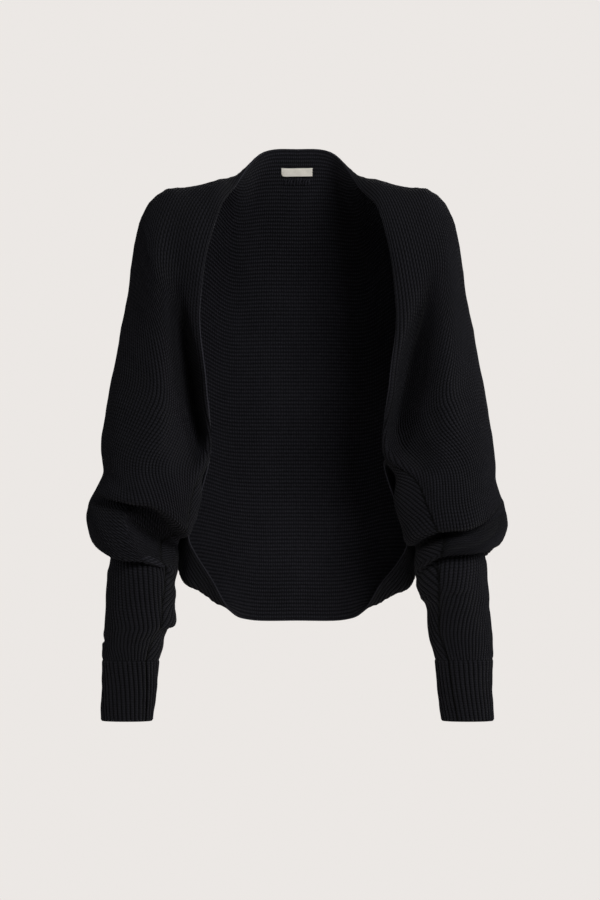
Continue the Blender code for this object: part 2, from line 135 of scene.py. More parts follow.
LEFT_CUFF = (
    ("cuff top", (187, -32, -618), (224, -66, -618), (261, -32, -618), (224, 2, -618), 122, 0.92),
    ("cuff middle", (190.5, -32, -656), (225, -63, -656), (260, -32, -656), (225, 0, -656), 118, 0.92),
    ("cuff end", (196, -32, -701), (229, -60, -701), (262, -32, -701), (229, -5, -701), 112, 0.92),
)
RIGHT_CUFF = (
    ("cuff top", (187, -31, -619), (223, -65, -619), (259.5, -31, -619), (223, 3, -619), 122, 0.92),
    ("cuff middle", (190.5, -31, -656), (225, -62, -656), (260, -31, -656), (225, 0, -656), 130, 0.92),
    ("cuff end", (196, -32, -701), (228, -60, -701), (261, -32, -701), (228, -5, -701), 138, 0.92),
)
# How far round a ring each share of the way from its seam lies, in degrees from the outer side
TURN_AT = (0.17, 0.42, 0.60, 0.78, 0.91)
TURN = (95, 0, -60, -104, -147)
ROUNDNESS = 0.92
# How flat the inner front of a row is where the roll draws back under the elbow
DRAWN_BACK = {"hollow crown": 2.4, "hollow belly": 2.1, "hollow lip": 1.35}
# The share of a sleeve's section over which its two edges are drawn together
EDGE_JOIN = 0.045

# How finely a section is drawn, and how far a short stretch of a curve may swing a long one beside it
FINE = 1000
SHARES = np.linspace(0, 1, FINE + 1)
HANDLE = 2.2

# How finely the knit is drawn: points to a rib, and the length of a row of points along the arm
SAMPLES_A_RIB = 4
PANEL_ROW = 9.6
SLEEVE_ROW = 3.6
CUFF_SAMPLES = 8
CUFF_ROW = 4.4
# How far beyond the underarm a sleeve's first row lies
BEYOND = 0.05

# Ribs of the panel, the share of its section from the front edge to the outer line, and the further ribs that
# a sleeve is drawn with, where its knit turns round the arm
PANEL_RIBS = 126
OUTER_LINE = 0.44
SPARE_RIBS = 14

# Over how many ribs from an edge or seam the ribs fade out, the unevenness fades out and the seam reads dark,
# and over how many millimetres the ribs fade above the cuff
EDGE_FADE = 0.8
SLACK_FADE = 2
SEAM_DARK = 0.5
CUFF_FADE = 4

# How each point of the cloth is marked for its material: outside is 0, and a seam goes down to -1
INSIDE = 1.0
# The material paints the cloth at this mark lighter, as a painted highlight on the edge rims.
SELVEDGE = 2.0

# At shares of the way down a sleeve: how many ribs have run off at the front and at the back of its seam, and
# how many millimetres the line between front and back has drifted backwards
RUN_OFF_AT = (0.0, 0.18, 0.38, 0.52, 0.75, 1.0)
FRONT_RUN_OFF = (0, 7, 13, 34, 37, 39)
BACK_RUN_OFF = (0, 5, 12, 35, 43, 49)
LINE_DRIFT = (0, 18, 18, 14, 8, 0)
# How many ribs the knit turns round the arm within the roll under the elbow, and the rows it turns between
TWIST = 10
TWIST_ROWS = (4, 8)

# Marks left by fashioning on the shoulders: side, millimetres from the centre back, rib. Then their half
# length in millimetres, half width in ribs and depth. They stay faint, as the panel's rows are far apart.
MARKS = (
    ("right", 204, 7.5), ("right", 228, 7.5), ("right", 246, 6.5),
    ("left", 228, 7.5), ("left", 237, 9.5), ("left", 246, 6.5),
)
MARK_LENGTH = 5.5
MARK_WIDTH = 0.55
MARK_DEPTH = 1.5

# Small creases: side, millimetres from the centre back, rib, half length and half width in millimetres, lean
# in degrees from the ribs' own direction, depth
CREASES = (
    ("right", 740, 51, 22, 7, 82, 2.2), ("right", 730, 88, 20, 6, 95, 2.2),
    ("left", 684, 49, 24, 7, 100, 2.2), ("left", 680, 92, 18, 6, 88, 2.0), ("left", 697, 57, 14, 8, 75, 1.2),
    ("right", 470, 20, 38, 16, 8, 1.4), ("left", 455, 24, 42, 18, -10, 1.4),
    ("left", 515, 29, 24, 10, 60, 1.6), ("right", 535, 32, 20, 8, 75, 1.5),
    ("left", 300, 84, 60, 18, 12, 1.6), ("right", 322, 78, 54, 20, -14, 1.7),
    ("left", 395, 96, 40, 14, 25, 1.6), ("right", 412, 92, 44, 15, -22, 1.7),
    ("left", 500, 70, 34, 14, 40, 1.8), ("right", 486, 74, 36, 13, -35, 1.8),
    ("left", 90, 100, 60, 22, 5, 0.8), ("right", 120, 96, 52, 20, -8, 0.8),
    ("left", 720, 62, 18, 7, 85, 1.5), ("right", 742, 66, 20, 8, 80, 1.6),
    ("left", 640, 68, 16, 8, 95, 1.3), ("right", 652, 64, 18, 8, 84, 1.3),
)

# Slow unevenness of hand and tension: strength in millimetres, wavelength along in millimetres, wavelength
# across in ribs, offset
SLACK = ((0.35, 71, 41, 0.4), (0.3, 47, -29, 2.1), (0.22, 29, 23, 4.4))
TENSION = ((0.09, 113, 31, 0.9), (0.08, 53, 13, 3.0), (0.07, 23, 7, 1.1))

# The linked row round the top of a cuff: how far down it lies, its half width and its height
LINK_AT = 2.0
LINK_WIDTH = 1.1
LINK_RISE = 0.8

# How full the beads of the inside are, and how far the loops of the outside slant
BEAD = 0.8
SLANT = 0.42
# How much lighter than the outside the yarn is painted on the inside wall, as painted light there, and how
# much lighter the strokes at the neck are drawn
INSIDE_PAINTED_LIGHT = 2.2
STROKE_LIGHT = 2.0

# The label's tape lies round this height. A row of tacks has its height, and a column its place across and
# its lean in degrees.
TAPE_Z = 40.9
TACK_ROWS = (37.7, 41.5, 45.1)
TACK_COLUMNS = ((-20.3, 12), (-18.9, -6), (19.3, 8), (20.6, -10))
TACK_LENGTH = 2.4
TACK_WIDTH = 0.55
# The strokes of yarn below the label
STROKES = 9
FIRST_STROKE_X = -15.6
STROKE_STEP = 4.0
STROKE_Z = 28.3
STROKE_LENGTH = 10.6
STROKE_WIDTH = 2.5

# In metres: the point that the lights face, the camera's place and the height of the floor
LIT_POINT = (0.0, 0.0, -0.32)
EYE = (0.004, -6.0, -0.3375)
FLOOR_Z = -1.1


class ShrugKnit(bpy.types.PropertyGroup):
    wall: bpy.props.FloatProperty(
        name="Wall", description="Thickness of the knit between its ribs", default=2.6 * MM,
        subtype="DISTANCE", unit="LENGTH")
    rib_rise: bpy.props.FloatProperty(
        name="Rib rise", description="How far a rib stands out of the wall", default=1.1 * MM,
        subtype="DISTANCE", unit="LENGTH")
    purl_rise: bpy.props.FloatProperty(
        name="Purl rise", description="How far a row of purl loops stands out inside", default=0.8 * MM,
        subtype="DISTANCE", unit="LENGTH")
    stitch: bpy.props.FloatProperty(
        name="Stitch", description="Length of a stitch along its rib", default=3.2 * MM,
        subtype="DISTANCE", unit="LENGTH")
    # `colour` is the yarn on the crests. `shade` is painted shade: the colour the yarn is painted deep in the
    # grooves and between the loops.
    colour: bpy.props.FloatVectorProperty(
        name="Yarn", description="Colour of the yarn where it catches the light",
        default=(0.0125, 0.0124, 0.0158), size=3, subtype="COLOR", min=0, max=1)
    shade: bpy.props.FloatVectorProperty(
        name="Yarn in shade", description="Colour of the yarn deep between its loops",
        default=(0.0010, 0.0010, 0.0011), size=3, subtype="COLOR", min=0, max=1)


class ShrugCuffs(bpy.types.PropertyGroup):
    ribs: bpy.props.IntProperty(name="Ribs", description="Ribs all round a cuff", default=36, min=8)
    rise: bpy.props.FloatProperty(
        name="Rib rise", description="How far a cuff's rib stands out", default=1.4 * MM,
        subtype="DISTANCE", unit="LENGTH")
    wall: bpy.props.FloatProperty(
        name="Wall", description="Thickness of a cuff between its ribs", default=2.4 * MM,
        subtype="DISTANCE", unit="LENGTH")


class ShrugLabel(bpy.types.PropertyGroup):
    width: bpy.props.FloatProperty(
        name="Width", description="Width of the tape", default=42 * MM, subtype="DISTANCE", unit="LENGTH")
    height: bpy.props.FloatProperty(
        name="Height", description="Height of the tape", default=11 * MM, subtype="DISTANCE", unit="LENGTH")
    thickness: bpy.props.FloatProperty(
        name="Thickness", description="Thickness of the folded tape", default=0.7 * MM,
        subtype="DISTANCE", unit="LENGTH")
    colour: bpy.props.FloatVectorProperty(
        name="Tape", description="Colour of the woven tape", default=(0.97, 0.93, 0.84), size=3,
        subtype="COLOR", min=0, max=1)


class ShrugStage(bpy.types.PropertyGroup):
    backdrop: bpy.props.FloatVectorProperty(
        name="Backdrop", description="Colour round the garment", default=(0.838, 0.807, 0.783), size=3,
        subtype="COLOR", min=0, max=1)
    ambient: bpy.props.FloatProperty(
        name="Ambient", description="Strength of the light from all round", default=0.06, min=0)
    front_right: bpy.props.FloatProperty(
        name="Front right", description="Power of the light in front on the right", default=108.0,
        unit="POWER")
    front_left: bpy.props.FloatProperty(
        name="Front left", description="Power of the light in front on the left", default=8.0, unit="POWER")
    right: bpy.props.FloatProperty(
        name="Right", description="Power of the light on the viewer's right", default=34.0, unit="POWER")
    left: bpy.props.FloatProperty(
        name="Left", description="Power of the light on the viewer's left", default=22.0, unit="POWER")
    top: bpy.props.FloatProperty(
        name="Top", description="Power of the light overhead", default=4.0, unit="POWER")
    back: bpy.props.FloatProperty(
        name="Back", description="Power of the light behind", default=80.0, unit="POWER")


def through(points, knots, at):
    """The smooth curve through points at knots, read at each value of `at`. A long stretch beside a short one
    keeps a short handle there, so that it doesn't swing out."""
    points = np.asarray(points, float)
    knots = np.asarray(knots, float)
    step = np.diff(knots)
    shaped = step.reshape((-1,) + (1,) * (points.ndim - 1))
    slope = np.diff(points, axis=0) / shaped
    tangent = np.empty_like(points)
    tangent[0], tangent[-1] = slope[0], slope[-1]
    tangent[1:-1] = (slope[1:] * shaped[:-1] + slope[:-1] * shaped[1:]) / (shaped[:-1] + shaped[1:])
    before = np.append(step[0], step)
    after = np.append(step, step[-1])
    i = np.clip(np.searchsorted(knots, at, side="right") - 1, 0, len(knots) - 2)
    shape = (len(i),) + (1,) * (points.ndim - 1)
    t = ((np.asarray(at) - knots[i]) / step[i]).reshape(shape)
    start = np.minimum(step[i], HANDLE * before[i]).reshape(shape)
    end = np.minimum(step[i], HANDLE * after[i + 1]).reshape(shape)
    return (
        (2 * t**3 - 3 * t**2 + 1) * points[i]
        + (t**3 - 2 * t**2 + t) * start * tangent[i]
        + (3 * t**2 - 2 * t**3) * points[i + 1]
        + (t**3 - t**2) * end * tangent[i + 1]
    )


def body_curve(row):
    """A section of the panel from the neck or front edge to the hem edge."""
    return through(row[1:], LANDMARK_AT, SHARES)


def ring(row):
    """A closed section of a sleeve or cuff, from the seam over the front, outer side and back to the seam."""
    inner, front, outer, back, seam, flatness = (np.array(value, float) for value in row[1:])
    turn = np.radians(np.interp(SHARES, (0, *TURN_AT, 1), (seam, *TURN, seam - 360)))
    out, fore = np.cos(turn)[:, None], np.sin(turn)[:, None]
    side = np.where(out > 0, outer, inner)
    end = np.where(fore > 0, front, back)
    power = np.where((out < 0) & (fore < 0), flatness, ROUNDNESS)
    power = np.where((out < 0) & (fore > 0), DRAWN_BACK.get(row[0], ROUNDNESS), power)
    made = side * out**2 + end * fore**2
    made[:, 0] = (end + (side - end) * abs(out) ** power)[:, 0]
    made[:, 1] = (side + (end - side) * abs(fore) ** power)[:, 1]
    return made


def knots_along(sections):
    """A running length for a list of sections: the mean distance from each to the next."""
    gaps = [np.linalg.norm(b - a, axis=1).mean() for a, b in zip(sections, sections[1:])]
    return np.concatenate([[0], np.cumsum(gaps)])


def lengths_across(points):
    """How far along its own section each point of a grid lies."""
    steps = np.linalg.norm(np.diff(points, axis=1), axis=2)
    return np.concatenate([np.zeros((len(points), 1)), np.cumsum(steps, axis=1)], axis=1)


def mirrored(points):
    """The other side's points, or marks whose stitches count the other way."""
    return points * np.array([-1, 1, 1])


def unit(vectors):
    """Vectors of length 1 in the same directions."""
    return vectors / np.maximum(np.linalg.norm(vectors, axis=-1, keepdims=True), 1e-9)


def smooth(share):
    """0 up to 0 and 1 from 1, with a smooth step between."""
    share = np.clip(share, 0, 1)
    return share * share * (3 - 2 * share)


def read_at(grid, places):
    """Rows of a fine grid read at each row's own places, from 0 to 1."""
    rows = [[np.interp(place, SHARES, row[:, i]) for i in range(3)] for row, place in zip(grid, places)]
    return np.array(rows).transpose(0, 2, 1)


class Side:
    """One half of the garment as a smooth surface, from the centre of the back to the cuff seam."""

    def __init__(self, front_rows, sleeve_rows):
        body = [body_curve(row) for row in BACK_SECTIONS + front_rows]
        rings = [ring(row) for row in sleeve_rows]
        beyond = [mirrored(body[2]), mirrored(body[1])]
        self.sections = np.array(beyond + body + rings)
        knots = knots_along(self.sections)
        self.knots = knots - knots[2]
        self.underarm = self.knots[1 + len(body)]
        self.end = self.knots[-1]
        start = lengths_across(self.points(np.array([self.underarm + BEYOND])))[0]
        self.pitch = start[-1] / PANEL_RIBS
        self.outer_rib = start[round(OUTER_LINE * FINE)] / self.pitch
        rows = self.knots[1 + len(body):]
        self.twist_at = [rows[1 + row] for row in TWIST_ROWS]

    def points(self, at):
        """Points at each running length, their two edges drawn together beyond the underarm."""
        here = through(self.sections, self.knots, at)
        apart = np.where(np.asarray(at) > self.underarm, 0.5, 0.0)[:, None] * (here[:, -1] - here[:, 0])
        near = np.maximum(0, 1 - SHARES / EDGE_JOIN) - np.maximum(0, 1 - (1 - SHARES) / EDGE_JOIN)
        return here + apart[:, None, :] * near[None, :, None]

    def surface(self, at, ribs):
        """Where each rib runs at each running length, which way is out there, and how many ribs away the seam
        or edge is. On the panel the ribs share the section evenly. On the sleeve they run off at the seam, so
        that they meet there in a chevron."""
        at = np.asarray(at, float)
        here = self.points(at)
        reach = 2.0
        along = self.points(np.minimum(at + reach, self.end)) - self.points(at - reach)
        across = np.gradient(here, axis=1)
        closed = at > self.underarm
        across[closed, 0] = across[closed, -1] = ((here[:, 1] - here[:, -2]) / 2)[closed]
        along[closed, 0] = along[closed, -1] = ((along[:, 0] + along[:, -1]) / 2)[closed]
        normal = unit(np.cross(along, across))
        arc = lengths_across(here)
        share, free = [], []
        for length, run in zip(at, arc):
            whole = run[-1]
            if length > self.underarm:
                way = (length - self.underarm) / (self.end - self.underarm)
                front, back, drift = (
                    np.interp(way, RUN_OFF_AT, table) for table in (FRONT_RUN_OFF, BACK_RUN_OFF, LINE_DRIFT))
                turned = TWIST * smooth((length - self.twist_at[0]) / (self.twist_at[1] - self.twist_at[0]))
                line = run[round(OUTER_LINE * FINE)] + drift
                counts = np.array([front, self.outer_rib, PANEL_RIBS - back]) + turned
                rib_here = through(counts, (0, line, whole), run)
            else:
                rib_here = run / whole * PANEL_RIBS
            share.append(np.interp(ribs, rib_here, SHARES))
            free.append(np.minimum(ribs - rib_here[0], rib_here[-1] - ribs))
        share = np.array(share)
        return read_at(here, share), unit(read_at(normal, share)), np.array(free)


SIDES = {"left": Side(LEFT_FRONT, LEFT_SLEEVE), "right": Side(RIGHT_FRONT, RIGHT_SLEEVE)}


def wave(terms, length, rib):
    """A sum of slow waves, as SLACK and TENSION list them."""
    return sum(s * np.sin((length / a + rib / c) * 2 * math.pi + o) for s, a, c, o in terms)


def ridge(phase, power=0.7):
    """How high a rib stands at a phase counted in ribs: rounded on top, with a narrow groove between ribs."""
    return np.abs(np.sin(np.pi * phase)) ** power


def purl(phase):
    """How high the inside stands, where each row of purl loops fills the back of a groove."""
    return np.abs(np.cos(np.pi * phase)) ** 0.8


def pinched(name, length, rib):
    """How deep the fashioning marks draw the knit in, from 0 to 1 at the middle of a mark."""
    return sum(
        np.exp(-(((length - at) / MARK_LENGTH) ** 2) - ((rib - mark) / MARK_WIDTH) ** 2)
        for side, at, mark in MARKS if side == name
    )


def creased(name, length, rib):
    """How far the small creases move the knit: a valley with a soft roll on each side."""
    moved = np.zeros(np.broadcast(length, rib).shape)
    for side, at, mid, half_length, half_width, lean, depth in CREASES:
        if side == name:
            along, across = length - at, (rib - mid) * SIDES[name].pitch
            turn = math.radians(lean)
            a = (along * math.cos(turn) + across * math.sin(turn)) / half_length
            b = (across * math.cos(turn) - along * math.sin(turn)) / half_width
            moved += depth * (2 * b**2 - 1) * np.exp(-(b**2) - a**4)
    return moved


def knit_walls(name, at, ribs, knit):
    """Outer and inner points of a stretch of knit, with its ribs outside and its purl rows inside, and the
    stitch and rib that each lies at."""
    side = SIDES[name]
    place, facing, free = side.surface(at, ribs)
    if at[-1] > side.end - 0.01:
        facing[-1, :, 2] = 0
        facing[-1] = unit(facing[-1])
    length, rib = at[:, None], ribs[None]
    fade = np.clip(free / EDGE_FADE, 0, 1) * np.clip((side.end - length) / CUFF_FADE, 0.2, 1)
    slack = (wave(SLACK, length, rib) + creased(name, length, rib)) * np.clip(free / SLACK_FADE, 0, 1)
    tight = 1 + wave(TENSION, length, rib)
    rise = knit.rib_rise / MM * ridge(rib) * tight * fade - MARK_DEPTH * pinched(name, length, rib)
    sink = knit.purl_rise / MM * purl(rib) * fade
    half = knit.wall / MM / 2
    outer = place + facing * (slack + half + rise)[:, :, None]
    inner = place + facing * (slack - half - sink)[:, :, None]
    stitches = np.repeat(length / (knit.stitch / MM), len(ribs), 1)
    at_seam = -np.clip(1 - free / SEAM_DARK, 0, 1) * (length > side.underarm)
    marks = np.stack([stitches, np.repeat(rib, len(at), 0), at_seam], axis=2)
    return outer, inner, marks


def quads(grid):
    """Faces over a grid of point numbers, or the marks of their corners, four to a face."""
    corners = np.stack([grid[:-1, :-1], grid[1:, :-1], grid[1:, 1:], grid[:-1, 1:]], axis=2)
    return corners.reshape(-1, 4, *grid.shape[2:])


def caps(outer, inner):
    """Faces between the outer and inner walls at both ends."""
    first = np.stack([outer[0, :-1], outer[0, 1:], inner[0, 1:], inner[0, :-1]], axis=1)
    last = np.stack([outer[-1, :-1], inner[-1, :-1], inner[-1, 1:], outer[-1, 1:]], axis=1)
    return np.concatenate([first, last])


def cloth_piece(name, points, faces, marks, ends, finish):
    """A mesh from points in millimetres, with the stitch, rib and side of the cloth at each face's corners.
    Points that meet are joined, and the edges between the points in `ends` stay sharp."""
    corner = [points[faces[:, k]] for k in range(4)]
    size = np.linalg.norm(np.cross(corner[2] - corner[0], corner[3] - corner[1]), axis=1)
    kept = size > 1e-4
    faces, marks = faces[kept], marks[kept]
    mesh = bpy.data.meshes.new(name)
    mesh.from_pydata((points * MM).tolist(), [], faces.tolist())
    layer = mesh.attributes.new("knit", "FLOAT_VECTOR", "CORNER")
    layer.data.foreach_set("vector", marks.reshape(-1).astype(np.float32))
    at_end = np.zeros(len(points), np.int32)
    at_end[ends.reshape(-1)] = 1
    mesh.attributes.new("end", "INT", "POINT").data.foreach_set("value", at_end)
    mesh.materials.append(finish)
    body = bmesh.new()
    body.from_mesh(mesh)
    bmesh.ops.remove_doubles(body, verts=body.verts, dist=0.01 * MM)
    bmesh.ops.delete(body, geom=[v for v in body.verts if not v.link_faces], context="VERTS")
    end = body.verts.layers.int["end"]
    for face in body.faces:
        face.smooth = True
    for edge in body.edges:
        if edge.verts[0][end] and edge.verts[1][end]:
            edge.smooth = False
    body.verts.layers.int.remove(end)
    body.to_mesh(mesh)
    body.free()
    made = bpy.data.objects.new(name, mesh)
    bpy.context.scene.collection.objects.link(made)
    return made


def tube(name, outer, inner, marks, mirror, finish):
    """A closed tube of cloth, open at both ends."""
    if mirror:
        outer, inner, marks = mirrored(outer)[:, ::-1], mirrored(inner)[:, ::-1], marks[:, ::-1]
    rows, wide = outer.shape[:2]
    out = np.arange(rows * wide).reshape(rows, wide)
    inn = out + rows * wide
    inside = marks * np.array([1, 1, 0]) + np.array([0, 0, INSIDE])
    faces = np.concatenate([quads(out), quads(inn)[:, ::-1], caps(out, inn)])
    corners = np.concatenate([quads(marks), quads(inside)[:, ::-1], caps(marks, inside)])
    points = np.concatenate([outer.reshape(-1, 3), inner.reshape(-1, 3)])
    ends = np.concatenate([out[0], out[-1], inn[0], inn[-1]])
    return cloth_piece(name, points, faces, corners, ends, finish)


def rim(outer, inner, beside):
    """Two columns of points that round an edge off, and stand a little proud of it."""
    middle, half = (outer + inner) / 2, (outer - inner) / 2
    away = unit(middle - beside) * np.linalg.norm(half, axis=1, keepdims=True)
    turns = (math.pi / 3, math.pi * 2 / 3)
    return np.stack([middle + half * math.cos(turn) + away * math.sin(turn) for turn in turns], axis=1)


def knit_panel(knit, finish):
    """The panel from underarm to underarm, one loop of points round its wall on each row."""
    ribs = np.linspace(0, PANEL_RIBS, PANEL_RIBS * SAMPLES_A_RIB + 1)
    halves = {}
    for name, side in SIDES.items():
        at = np.linspace(0, side.underarm, round(side.underarm / PANEL_ROW) + 1)
        halves[name] = knit_walls(name, at, ribs, knit)
    outer, inner, marks = (
        np.concatenate([mirrored(right[:0:-1]), left]) for right, left in zip(halves["right"], halves["left"])
    )
    middle = (outer + inner) / 2
    edges = [rim(outer[:, e], inner[:, e], middle[:, b]) for e, b in ((-1, -4), (0, 3))]
    loop = np.concatenate([outer, edges[0], inner[:, ::-1], edges[1][:, ::-1], outer[:, :1]], axis=1)
    rows, wide = loop.shape[:2]
    width = outer.shape[1]
    beyond = []
    for edge, sign in ((-1, 1), (0, -1)):
        steps = np.array([[[0, 0.25 * sign, SELVEDGE], [0, 0.5 * sign, SELVEDGE]]])
        beyond.append(marks[:, [edge]] + steps)
    inside = marks + np.array([0, 0, INSIDE])
    loop_marks = np.concatenate([marks, beyond[0], inside[:, ::-1], beyond[1][:, ::-1], marks[:, :1]], axis=1)
    number = np.arange(rows * wide).reshape(rows, wide)
    out = number[:, :width]
    inn = number[:, width + 2:2 * width + 2][:, ::-1]
    rims = ((width - 1, width, width + 1, width + 2), (2 * width + 1, 2 * width + 2, 2 * width + 3, 0))
    rim_ends = []
    rim_marks = []
    for row, order in ((0, 1), (rows - 1, -1)):
        for columns in rims:
            rim_ends.append([number[row, k] for k in columns[::order]])
            rim_marks.append([loop_marks[row, k] for k in columns[::order]])
    faces = np.concatenate([quads(number), caps(out, inn), np.array(rim_ends)])
    corners = np.concatenate([quads(loop_marks), caps(marks, inside), np.array(rim_marks)])
    ends = np.concatenate([number[0], number[-1]])
    return cloth_piece("knit_panel", loop.reshape(-1, 3), faces, corners, ends, finish)


def knit_sleeve(name, knit, finish):
    """A sleeve from the underarm row to the cuff seam, with the ribs that run off at its seam."""
    side = SIDES[name]
    count = PANEL_RIBS + SPARE_RIBS
    ribs = np.linspace(0, count, count * SAMPLES_A_RIB + 1)
    start = side.underarm + BEYOND
    at = np.linspace(start, side.end, round((side.end - start) / SLEEVE_ROW) + 1)
    outer, inner, marks = knit_walls(name, at, ribs, knit)
    return tube("knit_sleeve_" + name, outer, inner, marks, name == "right", finish)


def knit_cuff(name, rows, cuffs, knit, finish):
    """A ribbed tube with the linked row round its top, its seam drawn in and its end rounded over."""
    rings = np.array([ring(row) for row in rows])
    knots = knots_along(rings)
    whole = knots[-1]
    top = (0.1, 0.9, 1.9, 3.0, 4.2)
    end = (whole - 2.2, whole - 0.9, whole - 0.1)
    at = np.concatenate([top, np.arange(7, whole - 3, CUFF_ROW), end])
    here = through(rings, knots, at)
    across = np.gradient(here, axis=1)
    across[:, 0] = across[:, -1] = (here[:, 1] - here[:, -2]) / 2
    facing = unit(np.cross(np.gradient(here, axis=0), across) * np.array([1, 1, 0]))
    arc = lengths_across(here)
    rib = np.linspace(0, cuffs.ribs, cuffs.ribs * CUFF_SAMPLES + 1)[None]
    share = np.array([np.interp(rib[0] / cuffs.ribs, run / run[-1], SHARES) for run in arc])
    place, facing = read_at(here, share), unit(read_at(facing, share))
    length = at[:, None]
    link = np.exp(-(((length - LINK_AT) / LINK_WIDTH) ** 2))
    round_over = np.clip((whole - length) / 2.2, 0.25, 1) ** 0.5
    seam = np.exp(-((np.minimum(rib, cuffs.ribs - rib) / 0.3) ** 2))
    tight = 1 + 1.5 * wave(TENSION, length + 90, rib * 1.7)
    ribbing = cuffs.rise / MM * ridge(rib, 0.8) * tight * (1 - 0.75 * link)
    rise = ribbing * np.clip(length / 3, 0.2, 1) + LINK_RISE * link - 1.1 * seam
    slack = 0.5 * wave(SLACK, length, rib)
    half = cuffs.wall / MM / 2
    sink = 0.7 * purl(rib)
    outer = place + facing * (slack + (half + rise) * round_over)[:, :, None]
    inner = place + facing * (slack - (half + sink) * round_over)[:, :, None]
    stitches = np.repeat(length / (knit.stitch / MM), rib.shape[1], 1)
    at_seam = -seam * np.ones(length.shape)
    marks = np.stack([stitches, np.repeat(rib, len(at), 0), at_seam], axis=2)
    return tube("knit_cuff_" + name, outer, inner, marks, name == "right", finish)


class Wire:
    """An output of a material's node, so that maths on it is written as an expression."""

    def __init__(self, tree, socket=None):
        self.tree = tree
        self.socket = socket

    def node(self, kind, settings=(), values=(), output=0):
        """Adds a node with its settings, then the values or wires of its inputs, and gives one output."""
        made = self.tree.nodes.new(kind)
        for name, value in dict(settings).items():
            setattr(made, name, value)
        for key, value in dict(values).items():
            if isinstance(value, Wire):
                self.tree.links.new(value.socket, made.inputs[key])
            else:
                made.inputs[key].default_value = value
        return Wire(self.tree, made.outputs[output])

    def other(self, output):
        return Wire(self.tree, self.socket.node.outputs[output])

    def into(self, socket):
        self.tree.links.new(self.socket, socket)

    def maths(self, operation, *terms):
        return self.node("ShaderNodeMath", {"operation": operation}, enumerate(terms))

    def __add__(self, other):
        return self.maths("ADD", self, other)

    __radd__ = __add__

    def __sub__(self, other):
        return self.maths("SUBTRACT", self, other)

    def __rsub__(self, other):
        return self.maths("SUBTRACT", other, self)

    def __mul__(self, other):
        return self.maths("MULTIPLY", self, other)

    __rmul__ = __mul__

    def __pow__(self, other):
        return self.maths("POWER", self, other)

    def __abs__(self):
        return self.maths("ABSOLUTE", self)

    def between(self, low, high):
        """0 below low and 1 above high, with a smooth step between."""
        values = {"Value": self, "From Min": low, "From Max": high}
        return self.node("ShaderNodeMapRange", {"interpolation_type": "SMOOTHSTEP"}, values)

    def noise(self, place, scale, detail=2.0):
        return self.node("ShaderNodeTexNoise", {}, {"Vector": place, "Scale": scale, "Detail": detail})

    def blend(self, low, high):
        """A colour from low to high as this goes from 0 to 1."""
        return self.node(
            "ShaderNodeMix", {"data_type": "RGBA"}, {"Factor": self, 6: low, 7: high}, output=2)


def new_finish(name):
    """A material, its shader and a first wire to build nodes from."""
    made = bpy.data.materials.new(name)
    made.use_nodes = True
    return made, made.node_tree.nodes["Principled BSDF"], Wire(made.node_tree)


def yarn_knit(name, knit):
    """Half cardigan knit: outside, ribs of slanting loops with grooves between them, and inside, rows of
    round purl loops. Its colour carries painted shade down into the grooves and between the loops, a painted
    highlight on the edge rims and painted light over the inside wall. It reads the stitch, the rib and the
    side of the cloth from the piece itself."""
    made, shader, wire = new_finish(name)
    marks = wire.node("ShaderNodeAttribute", {"attribute_name": "knit"}, output="Vector")
    place = wire.node("ShaderNodeTexCoord", output="Object")
    drift = wire.noise(place, 55.0) - 0.5
    stitch = wire.node("ShaderNodeSeparateXYZ", {}, {0: marks})
    rib, zone = stitch.other(1), stitch.other(2)
    inside = zone.between(0.0, 1.0)
    # Painted highlight: the rounded edge rims are painted lighter, as if light fell on them.
    painted_edge_highlight = zone.between(1.2, 1.8)
    seam = (0.0 - zone).between(0.1, 0.9)
    stitch = stitch + drift * 0.6
    off = abs(wire.maths("FRACT", rib + drift * 0.06) * 2 - 1)
    loops = wire.maths("COSINE", (stitch + off * SLANT) * (2 * math.pi)) * 0.5 + 0.5
    purls = wire.maths("COSINE", stitch * (2 * math.pi)) * 0.5 + 0.5
    crest = (1 - off ** 2.5) * (loops * 0.5 + 0.5)
    beads = (off ** 1.3) * (purls * BEAD + (1 - BEAD))
    height = crest * (1 - inside) + beads * inside
    fuzz = wire.noise(place, 1400.0, 3.0)
    strands = wire.noise(place, 420.0, 2.0)
    relief = height + fuzz * 0.18 + strands * 0.2
    patch = wire.noise(place, 9.0, 3.0)
    # Painted shade: the colour falls from the crests into the grooves and between the loops. The inside wall
    # is lifted as painted light.
    tone_and_painted_light = height * (1.15 - inside * 0.45) + inside * 0.25
    # Random tone of the yarn
    tone_and_painted_light = tone_and_painted_light + strands * 0.35 + fuzz * 0.25 + patch * 0.3
    # The edge rims get a painted highlight. The seams are darker yarn.
    tone_and_painted_light = tone_and_painted_light + painted_edge_highlight * 0.5 - seam * 0.7 - 0.45
    # Painted light: the inside wall gets a lighter copy of the yarn's colour.
    light = tuple(c * INSIDE_PAINTED_LIGHT for c in knit.colour)
    yarn = inside.blend((*knit.colour, 1), (*light, 1))
    tone_and_painted_light.between(-0.1, 1.15).blend((*knit.shade, 1), yarn).into(shader.inputs["Base Color"])
    (1.0 - height * 0.12).into(shader.inputs["Roughness"])
    bump = wire.node("ShaderNodeBump", {}, {"Strength": 1.0, "Distance": 1.2 * MM, "Height": relief})
    bump.into(shader.inputs["Normal"])
    shader.inputs["Specular IOR Level"].default_value = 0.05
    shader.inputs["Sheen Weight"].default_value = 0.03
    shader.inputs["Sheen Roughness"].default_value = 0.5
    return made


